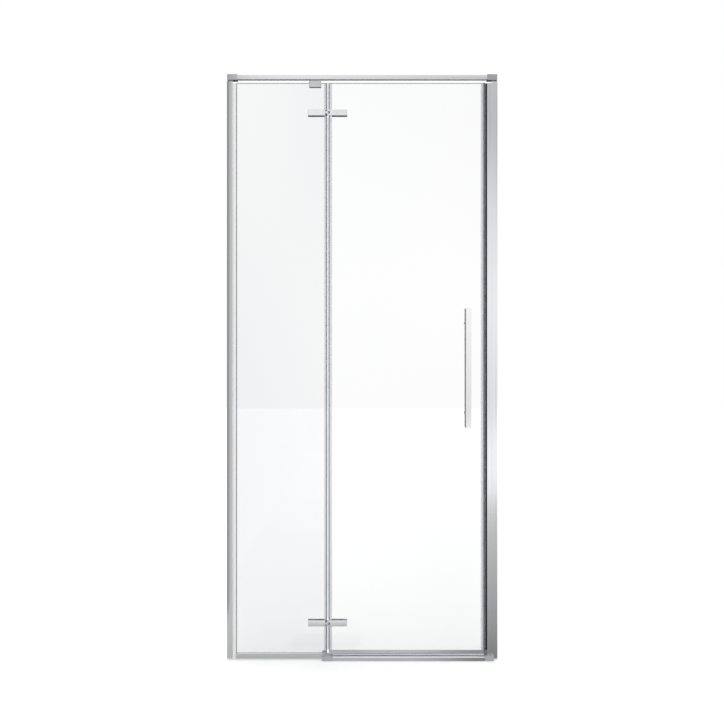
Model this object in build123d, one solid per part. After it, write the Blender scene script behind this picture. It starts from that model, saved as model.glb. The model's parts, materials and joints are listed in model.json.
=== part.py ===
from build123d import *
import os

# A shower door for an alcove: a fixed pane beside one wall, a glass door hung on that pane by two
# glass hinges, a telescoping profile at each wall, a head rail on two wall brackets, and a threshold.
# X runs along the door, Y from the room into the shower, Z up from the shower tray.
# The origin is on the tray, midway between the walls, in the middle plane of the panes.
# Every size is in millimetres.

# Overall
overall_width = 900.0
overall_height = 1950.0
hinge_line_from_wall = 335.0

# Panes
glass_thickness = 6.0
glass_top_drop = 28.0
fixed_glass_lift = 8.0
door_glass_lift = 26.5
pane_gap = 7.0
door_strike_gap = 44.0

# Fits
fit_gap = 0.05
slide_gap = 0.25
running_gap = 0.05

# Wall channels and the profiles that slide in them
channel_width = 18.5
channel_depth = 22.0
channel_top_drop = 25.0
channel_wall = 2.0
channel_crown = 1.0
profile_wall = 1.5
profile_tail = 4.0
profile_top_drop = 30.0
glass_profile_reach = 30.0
receiver_reach = 34.0
pocket_depth = 20.5
pane_engagement = 19.0
wall_hole_radius = 2.5
wall_hole_inset = 120.0
wall_hole_count = 4
profile_screw_end_inset = 200.0
profile_screw_count = 3
profile_screw_radius = 1.9
profile_screw_head_radius = 3.6
profile_screw_head = 2.0
profile_screw_inset = 13.0
profile_screw_length = 5.0

# Glazing gaskets
gasket_gap = 2.4
gasket_length = 4.5
gasket_bead = 1.2
gasket_barb = 1.6

# Bottom rail under the fixed pane
bottom_rail_height = 22.0
bottom_rail_back_height = 13.0
bottom_rail_base = 1.8
bottom_gasket_bead = 0.6
setting_block_length = 30.0
setting_block_width = 8.0
setting_block_inset = 20.0

# Threshold strip, its joint to the bottom rail, and its end cap
threshold_front = 20.0
threshold_back = 12.0
threshold_height = 14.5
threshold_wall = 1.6
threshold_rim = 3.5
threshold_rim_width = 2.5
threshold_round = 3.5
joint_left = 19.0
joint_right = 17.0
joint_post_height = 24.0
joint_post_width = 15.0
joint_round = 1.5
spigot_length = 12.0
end_cap_height = 15.5
end_cap_tail = 20.5
end_cap_step = 7.0
end_cap_step_height = 18.0
strip_end_gap = 9.0

# Magnetic strips on the closing edge
magnet_width = 8.0
magnet_thickness = 2.5
magnet_skin = 0.8
magnet_shut_gap = 0.8
holder_depth = 4.2
holder_neck = 3.8
holder_head = 6.4
holder_head_thickness = 1.4
strike_leg = 9.5
strike_web = 1.2
strike_skin = 1.2
end_block_width = 8.5
end_block_lift = 1.5

# Seals on the hinge line
fixed_seal_leg = 8.0
door_seal_leg = 10.5
edge_seal_wall = 1.0
edge_seal_fin = 1.2
edge_seal_fin_gap = 0.4
seal_cut = 1.0

# Door drip profile and wiper
drip_half_depth = 6.5
drip_height = 10.5
drip_back_drop = 4.4
drip_base = 4.6
drip_end_inset = 0.5
liner_thickness = 0.75
wiper_head = 5.0
wiper_head_height = 2.0
wiper_head_lift = 1.4
wiper_blade = 1.5
wiper_from_middle = 2.9
wiper_lean = 2.8
wiper_tread_gap = 0.4

# Head rail and its wall brackets
rail_depth = 14.0
rail_height = 13.4
rail_wall = 1.5
bracket_wall = 2.8
bracket_cheek = 1.6
bracket_width = 34.0
bracket_short_socket = 13.5
bracket_deep_socket = 28.0
bracket_round = 1.0
bracket_hole_radius = 2.6
set_screw_radius = 2.5
set_screw_from_mouth = 6.0

# Clamp between the fixed pane and the head rail
clamp_from_axis = 41.8
clamp_width = 39.6
clamp_height = 21.2
clamp_depth = 26.0
clamp_drop = 7.6
clamp_back_rise = 7.5
clamp_liner = 1.0
clamp_round = 2.0
clamp_neck_width = 30.0
clamp_neck_depth = 13.0
clamp_screw_radius = 2.5
clamp_screw_head_radius = 4.4
clamp_screw_head = 3.6
clamp_grub_spacing = 20.0
slide_nut_width = 10.0
slide_nut_height = 4.0
slide_nut_length = 16.0

# Hinges
lower_hinge_height = 124.0
upper_hinge_drop = 131.0
hinge_axis_front = 14.0
hinge_leaf_reach = 65.0
hinge_leaf_height = 20.0
hinge_plate_front = 18.0
hinge_gasket = 1.0
hinge_back_plate = 4.0
hinge_back_height = 14.0
hinge_back_round = 1.0
hinge_round = 1.6
knuckle_radius = 3.6
knuckle_clear = 3.2
knuckle_tongue = 6.6
knuckle_step = 0.7
hinge_washer = 0.6
hinge_washer_radius = 3.4
pin_radius = 2.0
pin_recess = 0.4
hinge_screw_near = 22.0
hinge_screw_far = 48.0
hinge_screw_radius = 3.0
hinge_screw_head_radius = 5.8
hinge_screw_depth = 8.0
hinge_glass_hole = 5.0

# Handle
handle_length = 390.0
handle_width = 18.0
handle_bar_depth = 30.0
handle_stand_off = 22.0
handle_wall = 2.0
handle_from_edge = 59.0
handle_mid_height = 971.5
handle_spacing = 300.0
handle_round = 1.0
handle_cap = 2.5
handle_cap_spigot = 8.0
handle_post_radius = 5.0
handle_washer = 1.0
handle_inner_cap_radius = 5.8
handle_inner_cap = 6.0
handle_bolt_radius = 2.5
handle_bolt_head_radius = 4.2
handle_bolt_head = 3.5
handle_nut_width = 10.0
handle_nut = 4.0
handle_glass_hole = 4.0

# Hexagon sockets, across the corners
socket_radius = 1.5
socket_depth = 1.8

# Places worked out from the sizes above
wall_left = -overall_width / 2
wall_right = overall_width / 2
axis_x = wall_left + hinge_line_from_wall
axis_y = -hinge_axis_front
glass_back = glass_thickness / 2
glass_top = overall_height - glass_top_drop
rail_base = overall_height - bracket_wall - rail_height
bracket_base = rail_base - bracket_wall
bracket_back = rail_depth / 2 + bracket_cheek

channel_top = overall_height - channel_top_drop
profile_top = overall_height - profile_top_drop
channel_back = channel_depth / 2
channel_inside = channel_back - channel_wall
profile_back = channel_inside - slide_gap
glass_mouth = wall_left + glass_profile_reach
receiver_face = wall_right - receiver_reach
rib_inside = glass_back + gasket_gap

fixed_left = glass_mouth - pane_engagement
fixed_right = axis_x - pane_gap / 2
door_left = axis_x + pane_gap / 2
door_right = wall_right - door_strike_gap

joint_start = axis_x - joint_left
joint_end = axis_x + joint_right
strip_end = receiver_face - strip_end_gap

drip_slot_floor = door_glass_lift - fit_gap - liner_thickness
drip_base_height = drip_slot_floor - drip_base
drip_top = drip_base_height + drip_height
drip_back_top = drip_top - drip_back_drop
drip_slot_half = glass_back + fit_gap + liner_thickness

hinge_heights = {"lower": lower_hinge_height, "upper": overall_height - upper_hinge_drop}
plate_back = glass_back + hinge_gasket
hinge_screw_offsets = (hinge_screw_near, hinge_screw_far)

clamp_x = axis_x - clamp_from_axis
clamp_top = rail_base - clamp_drop
clamp_bottom = clamp_top - clamp_height
clamp_back_bottom = clamp_bottom + clamp_back_rise
clamp_grub_height = (clamp_back_bottom + glass_top) / 2
clamp_slot_half = glass_back + clamp_liner + 2 * fit_gap
clamp_slot_top = glass_top + clamp_liner + 2 * fit_gap

handle_x = door_right - handle_from_edge
handle_back = -glass_back - handle_washer - handle_stand_off
handle_front = handle_back - handle_bar_depth
handle_heights = (handle_mid_height - handle_spacing / 2, handle_mid_height + handle_spacing / 2)


def evenly_up(inset, count):
    """Heights spread evenly between the same inset from the bottom and from the top."""
    pitch = (overall_height - 2 * inset) / (count - 1)
    return [inset + i * pitch for i in range(count)]


wall_hole_heights = evenly_up(wall_hole_inset, wall_hole_count)
profile_screw_heights = evenly_up(profile_screw_end_inset, profile_screw_count)


def block(x, y, z):
    """A box between two planes on each axis."""
    size = Box(x[1] - x[0], y[1] - y[0], z[1] - z[0])
    return Pos((x[0] + x[1]) / 2, (y[0] + y[1]) / 2, (z[0] + z[1]) / 2) * size


def rod(start, end, radius):
    """A round bar from one point to another."""
    along = Vector(*end) - Vector(*start)
    seat = Plane(origin=start, z_dir=along)
    return seat * Cylinder(radius, along.length, align=(Align.CENTER, Align.CENTER, Align.MIN))


def cone(start, end, start_radius, end_radius):
    """A tapered round bar from one point to another."""
    along = Vector(*end) - Vector(*start)
    seat = Plane(origin=start, z_dir=along)
    low = (Align.CENTER, Align.CENTER, Align.MIN)
    return seat * Cone(start_radius, end_radius, along.length, align=low)


def hex_socket(start, end):
    """The six-sided recess of a socket screw."""
    along = Vector(*end) - Vector(*start)
    seat = Plane(origin=start, z_dir=along)
    return extrude(seat * RegularPolygon(socket_radius, 6), along.length)


def joined(rectangles):
    """One flat section from rectangles, each given as low u, high u, low v, high v."""
    section = Sketch()
    for u0, u1, v0, v1 in rectangles:
        section += Pos((u0 + u1) / 2, (v0 + v1) / 2) * Rectangle(u1 - u0, v1 - v0)
    return section


def upright(section, bottom, top):
    """A section in X and Y, drawn up."""
    return extrude(Plane.XY.offset(bottom) * section, top - bottom)


def lengthwise(section, start, end):
    """A section in Y and Z, drawn along X."""
    return extrude(Plane.YZ.offset(start) * section, end - start)


def front_face(rectangles):
    """Mirror images of the rectangles across the panes' middle plane, with Y second."""
    return [(u0, u1, -v1, -v0) for u0, u1, v0, v1 in rectangles]


def both_faces(rectangles):
    """The rectangles and their mirror images."""
    return rectangles + front_face(rectangles)


def turned(rectangles):
    """The same rectangles with the two directions exchanged."""
    return [(v0, v1, u0, u1) for u0, u1, v0, v1 in rectangles]


def front_edges(solid):
    """The edges around the face nearest the room."""
    return solid.faces().sort_by(Axis.Y)[0].edges()


def channel_section(wall, inward):
    """A wall channel: a web on the wall and two flanges whose outer faces are slightly crowned."""
    tip = wall + inward * channel_width
    middle = wall + inward * channel_width / 2
    edge = channel_back - channel_crown
    bulge = channel_back - channel_crown / 4
    outline = Line((wall, -edge), (wall, edge))
    outline += ThreePointArc((wall, edge), (middle, bulge), (tip, channel_back))
    outline += Line((tip, channel_back), (tip, -channel_back))
    outline += ThreePointArc((tip, -channel_back), (middle, -bulge), (wall, -edge))
    cavity_start = wall + inward * channel_wall
    low, high = sorted((cavity_start, tip + inward * channel_wall))
    return make_face(outline) - joined([(low, high, -channel_inside, channel_inside)])


def wall_channel(wall, inward):
    channel = upright(channel_section(wall, inward), 0.0, channel_top)
    for height in wall_hole_heights:
        start = (wall - inward * channel_wall, 0.0, height)
        end = (wall + inward * channel_wall * 2, 0.0, height)
        channel -= rod(start, end, wall_hole_radius)
    x = wall + inward * profile_screw_inset
    for height in profile_screw_heights:
        channel -= rod((x, 0.0, height), (x, channel_depth, height), profile_screw_radius + fit_gap)
    return channel


def left_wall_channel():
    return wall_channel(wall_left, 1.0)


def right_wall_channel():
    channel = wall_channel(wall_right, -1.0)
    notch_x = (receiver_face - slide_gap, receiver_face + end_cap_tail + slide_gap)
    notch_y = (-threshold_front, channel_inside)
    return channel - block(notch_x, notch_y, (-1.0, end_cap_step_height + slide_gap))


def profile_with_screw_holes(profile, wall, inward):
    x = wall + inward * profile_screw_inset
    for height in profile_screw_heights:
        profile -= rod((x, 0.0, height), (x, channel_depth, height), profile_screw_radius + fit_gap)
    return profile


def left_glass_profile():
    """Slides in the wall channel and grips the fixed pane between two gaskets."""
    tail = wall_left + profile_tail
    web = glass_mouth - pocket_depth
    sides = both_faces([(tail, glass_mouth, profile_back - profile_wall, profile_back)])
    ribs = both_faces([(glass_mouth - profile_wall, glass_mouth, rib_inside, profile_back)])
    section = joined(sides + ribs + [(web - profile_wall, web, -profile_back, profile_back)])
    return profile_with_screw_holes(upright(section, 0.0, profile_top), wall_left, 1.0)


def right_receiver_profile():
    """Slides in the wall channel and carries the magnetic strip that the door closes on."""
    tail = wall_right - profile_tail
    neck = holder_neck / 2 + fit_gap
    sides = both_faces([(receiver_face, tail, profile_back - profile_wall, profile_back)])
    face = both_faces([(receiver_face, receiver_face + profile_wall, neck, profile_back)])
    stiffener_x = receiver_face + channel_width - profile_wall
    stiffener = [(stiffener_x, stiffener_x + profile_wall, -profile_back, profile_back)]
    profile = upright(joined(sides + face + stiffener), end_cap_height + slide_gap, profile_top)
    return profile_with_screw_holes(profile, wall_right, -1.0)


def profile_screws(wall, inward):
    """Self-tapping screws that lock a sliding profile in its wall channel."""
    x = wall + inward * profile_screw_inset
    screws = Part()
    for height in profile_screw_heights:
        seat = (x, channel_back, height)
        head_top = (x, channel_back + profile_screw_head, height)
        screw = cone(seat, head_top, profile_screw_head_radius, profile_screw_head_radius * 0.7)
        screw += rod((x, channel_back - profile_screw_length, height), seat, profile_screw_radius)
        screws += screw - hex_socket(head_top, (x, channel_back + 0.5, height))
    return screws


def gasket_rectangles(mouth, bead):
    """A glazing gasket on a pane's back face: a strip with a barb behind the rib and a bead outside it."""
    low = glass_back + fit_gap
    strip = (mouth - gasket_length, mouth + bead, low, rib_inside - fit_gap)
    barb_end = mouth - profile_wall - fit_gap
    barb = (mouth - gasket_length, barb_end, low, rib_inside + gasket_barb)
    return [strip, barb]


def left_glass_gaskets():
    start = bottom_rail_height + bottom_gasket_bead + slide_gap
    section = joined(both_faces(gasket_rectangles(glass_mouth, gasket_bead)))
    return upright(section, start, profile_top)


def bottom_rail_side(height):
    """The flange behind the pane and the rib that holds its gasket."""
    flange = (0.0, height, profile_back, channel_back)
    rib = (height - profile_wall, height, rib_inside, channel_back)
    return [flange, rib]


def bottom_rail():
    """A U-shaped rail that the fixed pane stands in, lower behind the pane than in front of it."""
    front = front_face(bottom_rail_side(bottom_rail_height))
    back = bottom_rail_side(bottom_rail_back_height)
    base = [(0.0, bottom_rail_base, -channel_back, channel_back)]
    return lengthwise(joined(turned(front + back + base)), glass_mouth, joint_start)


def bottom_rail_gaskets():
    front = front_face(gasket_rectangles(bottom_rail_height, bottom_gasket_bead))
    back = gasket_rectangles(bottom_rail_back_height, bottom_gasket_bead)
    return lengthwise(joined(turned(front + back)), glass_mouth + gasket_bead + slide_gap, joint_start)


def glass_setting_blocks():
    """Two hard plastic blocks that carry the fixed pane's weight in the bottom rail."""
    half = setting_block_width / 2
    blocks = Part()
    first = glass_mouth + setting_block_inset
    last = joint_start - setting_block_inset - setting_block_length
    for start in (first, last):
        x = (start, start + setting_block_length)
        blocks += block(x, (-half, half), (bottom_rail_base, fixed_glass_lift))
    return blocks


def hinge_glass_holes(inward):
    """Through holes for the hinge screws of one pane."""
    holes = Part()
    for height in hinge_heights.values():
        for offset in hinge_screw_offsets:
            x = axis_x + inward * offset
            holes += rod((x, -glass_thickness, height), (x, glass_thickness, height), hinge_glass_hole)
    return holes


def fixed_glass():
    pane = block((fixed_left, fixed_right), (-glass_back, glass_back), (fixed_glass_lift, glass_top))
    return pane - hinge_glass_holes(-1.0)


def door_glass():
    pane = block((door_left, door_right), (-glass_back, glass_back), (door_glass_lift, glass_top))
    pane -= hinge_glass_holes(1.0)
    for height in handle_heights:
        start = (handle_x, -glass_thickness, height)
        pane -= rod(start, (handle_x, glass_thickness, height), handle_glass_hole)
    return pane


def seal_spans(bottom):
    """The heights that an edge seal covers, cut short at each hinge."""
    spans = []
    start = bottom
    for height in hinge_heights.values():
        spans.append((start, height - hinge_leaf_height / 2 - seal_cut))
        start = height + hinge_leaf_height / 2 + seal_cut
    spans.append((start, glass_top))
    return spans


def edge_seal_rectangles(edge, inward, leg):
    """A clear channel that grips a pane's edge: two legs and a web past the edge."""
    web_near = edge + inward * fit_gap
    web_far = web_near + inward * edge_seal_wall
    leg_end = edge - inward * leg
    leg_x = sorted((leg_end, web_far))
    web_x = sorted((web_near, web_far))
    outer = glass_back + fit_gap + edge_seal_wall
    legs = both_faces([(leg_x[0], leg_x[1], glass_back + fit_gap, outer)])
    return legs + [(web_x[0], web_x[1], -outer, outer)]


def fixed_edge_seal():
    seal = Part()
    for bottom, top in seal_spans(joint_post_height + edge_seal_fin_gap):
        seal += upright(joined(edge_seal_rectangles(fixed_right, 1.0, fixed_seal_leg)), bottom, top)
    return seal


def door_hinge_seal():
    """The door's edge channel, with a soft fin that closes the gap between the two panes."""
    web_far = door_left - fit_gap - edge_seal_wall
    fin_tip = fixed_right + fit_gap + edge_seal_wall + edge_seal_fin_gap
    fin = [(fin_tip, web_far, -edge_seal_fin / 2, edge_seal_fin / 2)]
    section = joined(edge_seal_rectangles(door_left, -1.0, door_seal_leg) + fin)
    seal = Part()
    for bottom, top in seal_spans(drip_top + slide_gap):
        seal += upright(section, bottom, top)
    return seal


strike_box_start = door_right + fit_gap + strike_web
strike_box_end = receiver_face - holder_depth - magnet_shut_gap
magnet_box_half = magnet_width / 2 + magnet_skin
door_magnet_end = strike_box_end - magnet_skin
holder_front = receiver_face - holder_depth


def door_magnet_seal():
    """A clear channel on the closing edge with a box for the magnet."""
    inner = glass_back + fit_gap
    legs = both_faces([(door_right - strike_leg, strike_box_start, inner, inner + strike_skin)])
    web = [(door_right + fit_gap, strike_box_start, -inner - strike_skin, inner + strike_skin)]
    box = [(strike_box_start, strike_box_end, -magnet_box_half, magnet_box_half)]
    seal = upright(joined(legs + web + box), drip_top + slide_gap, glass_top)
    return seal - door_magnet()


def door_magnet():
    half = magnet_width / 2
    x = (door_magnet_end - magnet_thickness, door_magnet_end)
    return block(x, (-half, half), (drip_top + slide_gap, glass_top))


def receiver_magnet():
    half = magnet_width / 2
    x = (holder_front + magnet_skin, holder_front + magnet_skin + magnet_thickness)
    return block(x, (-half, half), (drip_top + slide_gap, profile_top))


def receiver_clip():
    """The neck and head that hold a piece in the receiver profile's slot."""
    inside = receiver_face + profile_wall + fit_gap
    neck = [(receiver_face, inside, -holder_neck / 2, holder_neck / 2)]
    return neck + [(inside, inside + holder_head_thickness, -holder_head / 2, holder_head / 2)]


def receiver_magnet_holder():
    """A strip that clips into the receiver profile and carries the second magnet."""
    box = [(holder_front, receiver_face, -magnet_box_half, magnet_box_half)]
    holder = upright(joined(box + receiver_clip()), drip_top + slide_gap, profile_top)
    return holder - receiver_magnet()


def receiver_end_block():
    """Closes the corner between the door, the receiver profile and the threshold."""
    box = [(receiver_face - end_block_width, receiver_face, -profile_back, profile_back)]
    return upright(joined(box + receiver_clip()), end_cap_height + end_block_lift, drip_top)


def threshold_section():
    """A hollow strip with a rounded front edge and a low rim at the back that holds water in."""
    body = joined([(-threshold_front, threshold_back, 0.0, threshold_height)])
    corner = body.vertices().sort_by(Axis.X)[:2].sort_by(Axis.Y)[-1]
    body = fillet(corner, threshold_round)
    rim_y = (threshold_back - threshold_rim_width, threshold_back)
    return body + joined([(*rim_y, 0.0, threshold_height + threshold_rim)])


def threshold_cavity():
    y = (-threshold_front + threshold_wall, threshold_back - threshold_wall)
    return (*y, threshold_wall, threshold_height - threshold_wall)


def threshold_plug(start, end):
    """The part of an end fitting that fills the strip's cavity, with its clearance."""
    y0, y1, z0, z1 = threshold_cavity()
    spare = slide_gap
    return block((start, end), (y0 + spare, y1 - spare), (z0 + spare, z1 - spare))


def threshold_strip():
    return lengthwise(threshold_section() - joined([threshold_cavity()]), joint_end, strip_end)


def threshold_joint():
    """Joins the bottom rail to the threshold and holds the lower corner of the fixed pane."""
    body = block((joint_start, joint_end), (-threshold_front, threshold_back), (0.0, threshold_height))
    post_x = (joint_start, joint_start + joint_post_width)
    body = fillet(body.edges().filter_by(Axis.X).group_by(Axis.Z)[-1], joint_round)
    body += block(post_x, (-channel_back, channel_back), (0.0, joint_post_height))
    body += threshold_plug(joint_end, joint_end + spigot_length)
    slot_y = glass_back + slide_gap
    slot = block((joint_start - 1.0, fixed_right + slide_gap), (-slot_y, slot_y), (fixed_glass_lift, 100.0))
    return body - slot


def threshold_end_cap():
    """Closes the threshold under the receiver profile, with a small upstand in front of the channel."""
    near = block((strip_end, receiver_face), (-threshold_front, threshold_back), (0.0, end_cap_height))
    tail_x = (receiver_face, receiver_face + end_cap_tail)
    tail_y = (-threshold_front, profile_back)
    cap = near + block(tail_x, tail_y, (0.0, end_cap_height))
    step_x = (tail_x[1] - end_cap_step, tail_x[1])
    cap += block(step_x, (-threshold_front, -channel_inside), (0.0, end_cap_step_height))
    cap = fillet(front_edges(cap), joint_round / 2)
    return cap + threshold_plug(strip_end - spigot_length, strip_end)


def door_drip_profile():
    """An aluminium channel on the door's lower edge, slotted underneath for the wiper."""
    y = drip_half_depth
    body = [(-y, y, drip_base_height, drip_slot_floor)]
    cheek_y = (drip_slot_half + fit_gap, y)
    front = front_face([(drip_slot_floor, drip_top, *cheek_y)])
    back = [(drip_slot_floor, drip_back_top, *cheek_y)]
    section = joined(body + turned(front + back))
    head_z = drip_base_height + wiper_head_lift
    head_half = wiper_head / 2 + fit_gap
    neck_half = wiper_blade / 2 + fit_gap
    middle = -wiper_from_middle
    head_z_range = (head_z - fit_gap, head_z + wiper_head_height + fit_gap)
    slot = [(middle - head_half, middle + head_half, *head_z_range)]
    slot += [(middle - neck_half, middle + neck_half, drip_base_height - 1.0, head_z)]
    return lengthwise(section - joined(slot), door_left + drip_end_inset, door_right - drip_end_inset)


def door_drip_liner():
    """A thin plastic channel between the door glass and the drip profile."""
    inner = glass_back + fit_gap
    side_y = (inner, inner + liner_thickness)
    floor_top = drip_slot_floor + liner_thickness
    sides = front_face([(drip_slot_floor, drip_top, *side_y)])
    sides += [(drip_slot_floor, drip_back_top, *side_y)]
    floor = [(drip_slot_floor, floor_top, -inner - liner_thickness, inner + liner_thickness)]
    section = joined(turned(sides + floor))
    return lengthwise(section, door_left + drip_end_inset, door_right - drip_end_inset)


def door_wiper():
    """A soft blade that leans forward from the drip profile to just above the threshold."""
    head_z = drip_base_height + wiper_head_lift
    middle = -wiper_from_middle
    head = [(middle - wiper_head / 2, middle + wiper_head / 2, head_z, head_z + wiper_head_height)]
    neck = [(middle - wiper_blade / 2, middle + wiper_blade / 2, drip_base_height, head_z)]
    tip = middle - wiper_lean
    tip_z = threshold_height + wiper_tread_gap
    blade = Polyline(
        (middle - wiper_blade / 2, drip_base_height),
        (middle + wiper_blade / 2, drip_base_height),
        (tip + wiper_blade / 2, tip_z),
        (tip - wiper_blade / 2, tip_z),
        close=True,
    )
    section = joined(head + neck) + make_face(blade)
    return lengthwise(section, door_left + drip_end_inset, door_right - drip_end_inset)


def top_rail():
    half = rail_depth / 2
    outer = joined([(-half, half, rail_base, rail_base + rail_height)])
    inner_z = (rail_base + rail_wall, rail_base + rail_height - rail_wall)
    inner = joined([(-half + rail_wall, half - rail_wall, *inner_z)])
    start = wall_left + bracket_width - bracket_short_socket + slide_gap
    end = wall_right - bracket_width + bracket_short_socket - slide_gap
    rail = lengthwise(outer - inner, start, end)
    low = (clamp_x, 0.0, rail_base - 1.0)
    return rail - rod(low, (clamp_x, 0.0, inner_z[0] + 1.0), clamp_screw_radius + fit_gap)


def rail_bracket(wall, inward, socket):
    """A wall block with a socket for the end of the head rail and a hole for one wall screw."""
    face = wall + inward * bracket_width
    x = sorted((wall, face))
    body = block(x, (-bracket_back, bracket_back), (bracket_base, overall_height))
    body = fillet(front_edges(body), bracket_round)
    floor = face - inward * socket
    socket_x = sorted((floor, face + inward))
    half = rail_depth / 2 + fit_gap
    socket_z = (rail_base - fit_gap, rail_base + rail_height + fit_gap)
    body -= block(socket_x, (-half, half), socket_z)
    hole_z = rail_base + rail_height / 2
    body -= rod((wall - inward, 0.0, hole_z), (floor + inward, 0.0, hole_z), bracket_hole_radius)
    screw_x = face - inward * set_screw_from_mouth
    top = (screw_x, 0.0, rail_base)
    return body - rod((screw_x, 0.0, bracket_base - 1.0), top, set_screw_radius + fit_gap)


def left_rail_bracket():
    return rail_bracket(wall_left, 1.0, bracket_short_socket)


def right_rail_bracket():
    """Its socket is deep enough for the rail to slide in before it slides back into the left one."""
    return rail_bracket(wall_right, -1.0, bracket_deep_socket)


def bracket_set_screws():
    """One screw in each bracket presses on the underside of the head rail."""
    screws = Part()
    from_middle = overall_width / 2 - bracket_width + set_screw_from_mouth
    for x in (-from_middle, from_middle):
        low = (x, 0.0, bracket_base)
        screw = rod(low, (x, 0.0, rail_base), set_screw_radius)
        screws += screw - hex_socket(low, (x, 0.0, bracket_base + socket_depth))
    return screws


def rail_clamp():
    """A block that grips the fixed pane's top edge and hangs from the head rail."""
    half = clamp_width / 2
    depth = clamp_depth / 2
    body = block((clamp_x - half, clamp_x + half), (-depth, depth), (clamp_bottom, clamp_top))
    body = fillet(front_edges(body), clamp_round)
    neck_x = (clamp_x - clamp_neck_width / 2, clamp_x + clamp_neck_width / 2)
    neck_y = (-clamp_neck_depth / 2, clamp_neck_depth / 2)
    body += block(neck_x, neck_y, (clamp_top - clamp_round, rail_base))
    slot_y = (-clamp_slot_half, clamp_slot_half)
    across = (clamp_x - clamp_width, clamp_x + clamp_width)
    body -= block(across, slot_y, (clamp_bottom - 1.0, clamp_slot_top))
    body -= block(across, (0.0, clamp_depth), (clamp_bottom - 1.0, clamp_back_bottom))
    seat = clamp_slot_top + clamp_screw_head + slide_gap
    body -= rod((clamp_x, 0.0, clamp_bottom), (clamp_x, 0.0, seat), clamp_screw_head_radius + fit_gap)
    body -= rod((clamp_x, 0.0, clamp_bottom), (clamp_x, 0.0, rail_base + 1.0), clamp_screw_radius + fit_gap)
    for x in clamp_grub_places():
        z = clamp_grub_height
        body -= rod((x, 0.0, z), (x, clamp_depth, z), set_screw_radius + fit_gap)
    return body


def clamp_grub_places():
    return (clamp_x - clamp_grub_spacing / 2, clamp_x + clamp_grub_spacing / 2)


def rail_clamp_liner():
    """A plastic saddle between the clamp and the pane."""
    inner = glass_back + fit_gap
    outer = inner + clamp_liner
    sides = [(-outer, -inner, clamp_bottom + clamp_liner, glass_top + clamp_liner)]
    sides += [(inner, outer, clamp_back_bottom + clamp_liner, glass_top + clamp_liner)]
    bridge = [(-outer, outer, glass_top + fit_gap, glass_top + fit_gap + clamp_liner)]
    half = clamp_width / 2 - clamp_liner
    return lengthwise(joined(sides + bridge), clamp_x - half, clamp_x + half)


def rail_clamp_grub_screws():
    """Two screws at the back press the liner on the pane."""
    screws = Part()
    for x in clamp_grub_places():
        z = clamp_grub_height
        outer = (x, clamp_depth / 2, z)
        screw = rod((x, clamp_slot_half, z), outer, set_screw_radius)
        screws += screw - hex_socket(outer, (x, clamp_depth / 2 - socket_depth, z))
    return screws


def rail_clamp_screw():
    """Runs from inside the clamp's slot up into the nut in the head rail."""
    seat = clamp_slot_top + clamp_screw_head + slide_gap
    low = (clamp_x, 0.0, seat - clamp_screw_head)
    screw = rod(low, (clamp_x, 0.0, seat), clamp_screw_head_radius)
    screw += rod((clamp_x, 0.0, seat), (clamp_x, 0.0, slide_nut_top()), clamp_screw_radius)
    return screw - hex_socket(low, (clamp_x, 0.0, seat - clamp_screw_head + socket_depth))


def slide_nut_top():
    return rail_base + rail_wall + slide_nut_height


def rail_slide_nut():
    x = (clamp_x - slide_nut_length / 2, clamp_x + slide_nut_length / 2)
    y = (-slide_nut_width / 2, slide_nut_width / 2)
    nut = block(x, y, (rail_base + rail_wall, slide_nut_top()))
    low = (clamp_x, 0.0, rail_base)
    return nut - rod(low, (clamp_x, 0.0, slide_nut_top() + 1.0), clamp_screw_radius + fit_gap)


def leaf_x(inward):
    """The leaf's two ends on one side of the hinge axis."""
    return sorted((axis_x + inward * (knuckle_radius + knuckle_clear), axis_x + inward * hinge_leaf_reach))


def hinge_plate(height, inward, knuckles):
    """A front plate with its knuckles: each knuckle is a round end on a short arm, from low z to high z."""
    half = hinge_leaf_height / 2
    body = block(leaf_x(inward), (-hinge_plate_front, -plate_back), (height - half, height + half))
    body = fillet(front_edges(body), hinge_round)
    for low, high in knuckles:
        arm_x = sorted((axis_x, axis_x + inward * (knuckle_radius + knuckle_clear + hinge_round)))
        arm_y = (axis_y - knuckle_radius, axis_y + knuckle_radius)
        body += block(arm_x, arm_y, (height + low, height + high))
        body += rod((axis_x, axis_y, height + low), (axis_x, axis_y, height + high), knuckle_radius)
    for offset in hinge_screw_offsets:
        x = axis_x + inward * offset
        body -= rod((x, -plate_back - hinge_screw_depth, height), (x, 0.0, height), hinge_screw_radius + fit_gap)
    return body


def pin_bore(height, radius):
    half = hinge_leaf_height
    return rod((axis_x, axis_y, height - half), (axis_x, axis_y, height + half), radius)


def fixed_hinge_plate(height):
    tongue = knuckle_tongue / 2
    return hinge_plate(height, -1.0, [(-tongue, tongue)]) - pin_bore(height, pin_radius + fit_gap / 5)


def door_hinge_plate(height):
    lug = knuckle_tongue / 2 + knuckle_step
    half = hinge_leaf_height / 2
    return hinge_plate(height, 1.0, [(lug, half), (-half, -lug)]) - pin_bore(height, pin_radius + running_gap)


def hinge_pin(height):
    half = hinge_leaf_height / 2 - pin_recess
    return rod((axis_x, axis_y, height - half), (axis_x, axis_y, height + half), pin_radius)


def hinge_washers(height):
    """Two plastic washers, above and below the middle knuckle."""
    washers = Part()
    middle = (knuckle_tongue + knuckle_step) / 2
    for side in (-1.0, 1.0):
        z = height + side * middle
        low = (axis_x, axis_y, z - hinge_washer / 2)
        washers += rod(low, (axis_x, axis_y, z + hinge_washer / 2), hinge_washer_radius)
    return washers - pin_bore(height, pin_radius + 2 * running_gap)


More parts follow.
